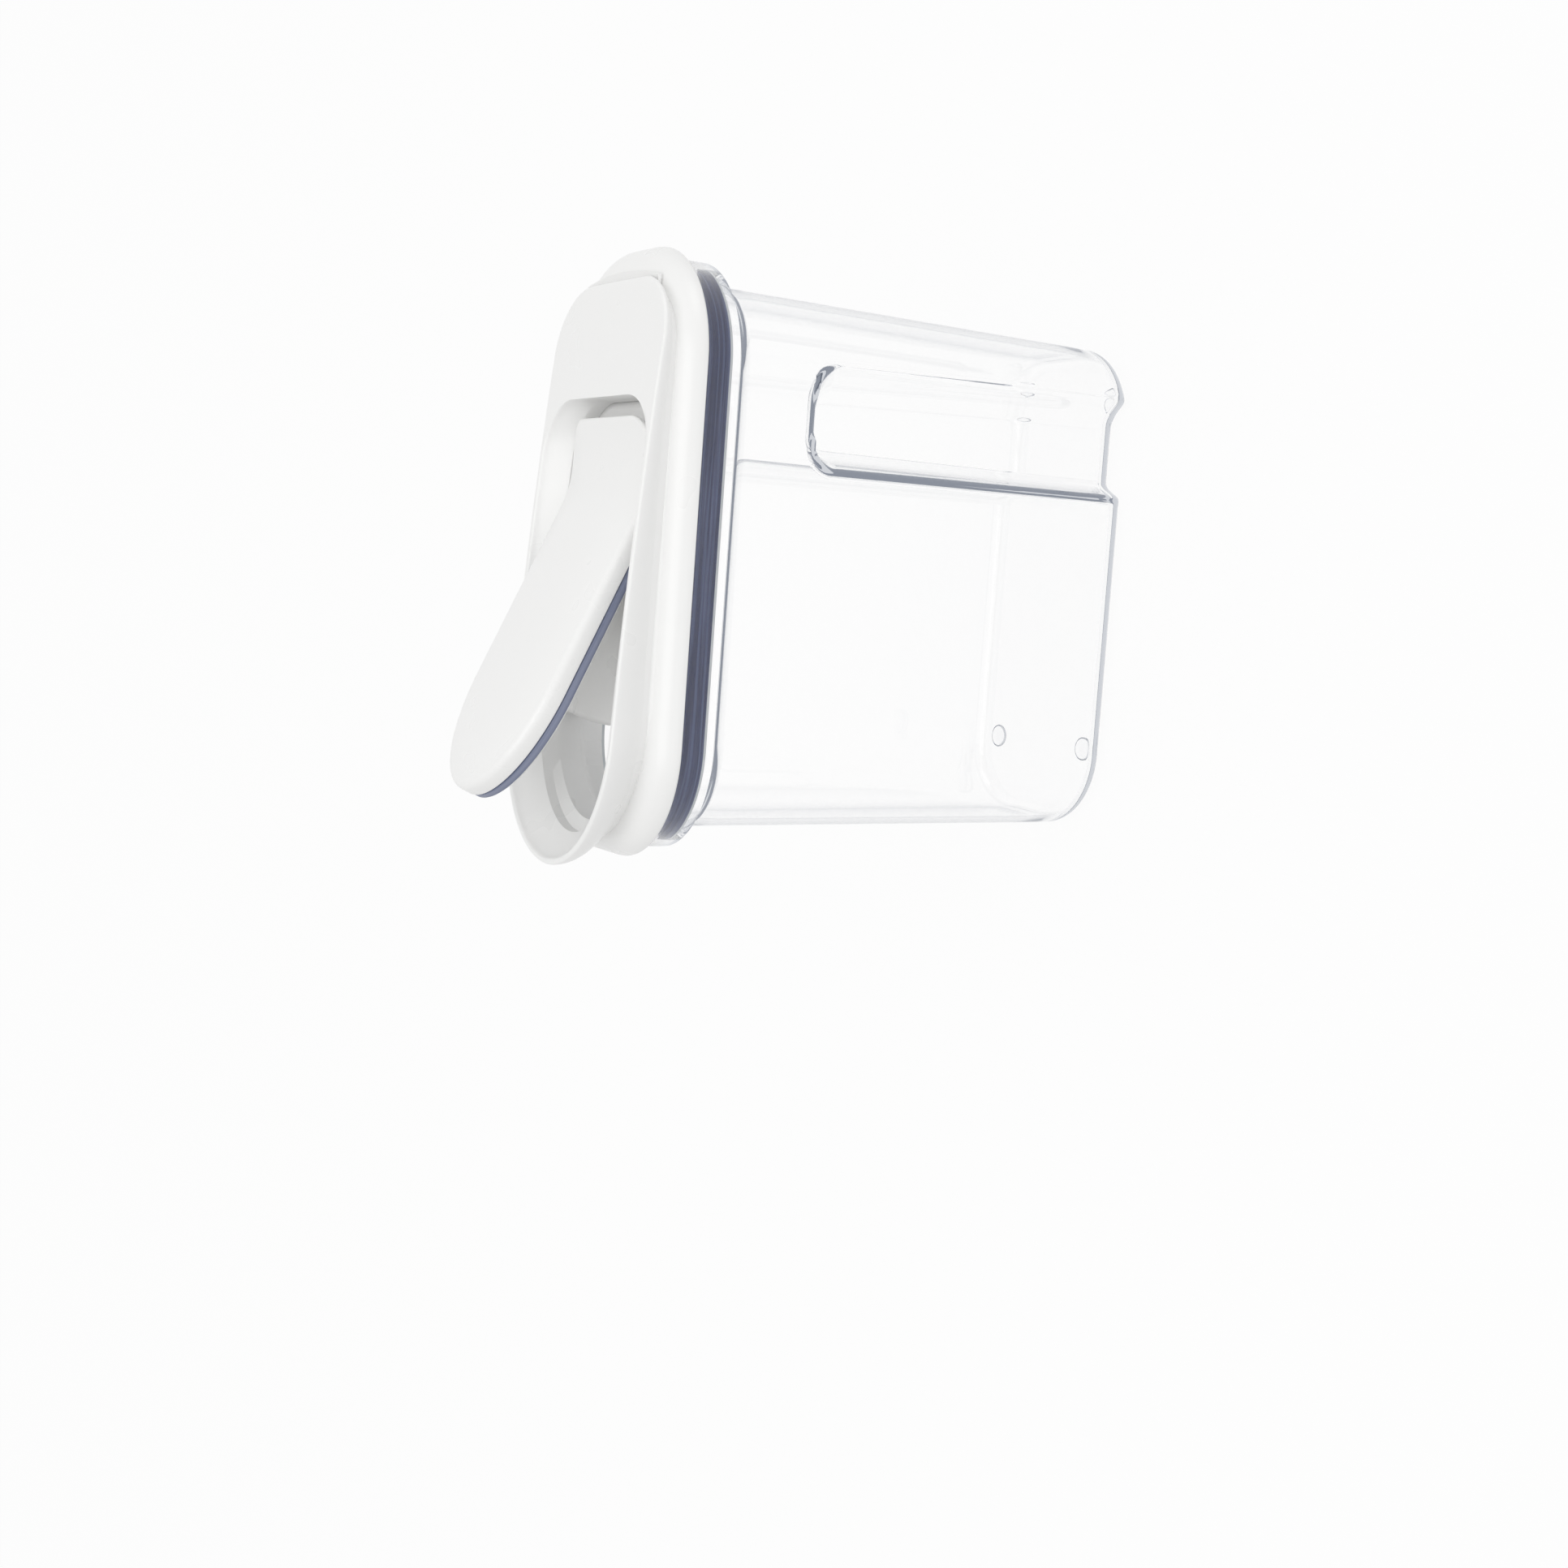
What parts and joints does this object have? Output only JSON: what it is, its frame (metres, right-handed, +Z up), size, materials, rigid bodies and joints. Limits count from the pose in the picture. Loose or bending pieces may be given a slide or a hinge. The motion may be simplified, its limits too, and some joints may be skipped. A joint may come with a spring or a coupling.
{
  "type": "cereal container",
  "caption": "Tall clear food keeper with finger grips, a white lid with a pouring spout, and a tongue that rocks open and shut over it.",
  "frame": {"origin": "on the ground, under the middle of the bounding box", "axes": "+Z up, +X towards the spout, +Y to the left of someone who looks along +X"},
  "size_m": [0.2396, 0.107, 0.2733],
  "materials": {
    "clear_plastic": "clear injection-moulded plastic, polished",
    "white_plastic": "white injection-moulded plastic, satin gloss",
    "dark_seal": "dark blue-grey silicone",
    "blue_seal": "blue-grey silicone",
    "pale_ring": "pale translucent plastic"
  },
  "bodies": {
    "container": {"container_body": "clear_plastic", "foot_rear_left": "clear_plastic", "foot_rear_right": "clear_plastic", "foot_front_left": "clear_plastic", "foot_front_right": "clear_plastic"},
    "lid": {"lid_frame": "white_plastic", "lid_hood": "white_plastic", "lid_base": "white_plastic", "channel_floor": "white_plastic", "lid_gasket": "dark_seal", "gasket_retainer": "pale_ring", "rear_tab": "white_plastic", "hinge_ear_left": "white_plastic", "hinge_ear_right": "white_plastic"},
    "flip": {"flip_shell": "white_plastic", "flip_gasket": "blue_seal", "flip_plug": "white_plastic", "hinge_pin_left": "white_plastic", "hinge_pin_right": "white_plastic"}
  },
  "joints": [
    {"name": "lid_lift", "type": "slide", "parent": "container", "child": "lid", "axis": [0, 0, 1], "range_m": [0, 0.06]},
    {"name": "flip_rock", "type": "hinge", "parent": "lid", "child": "flip", "pos_m": [-0.0175, 0, 0.2166], "axis": [0, 1, 0], "range_deg": [0, 20]}
  ]
}
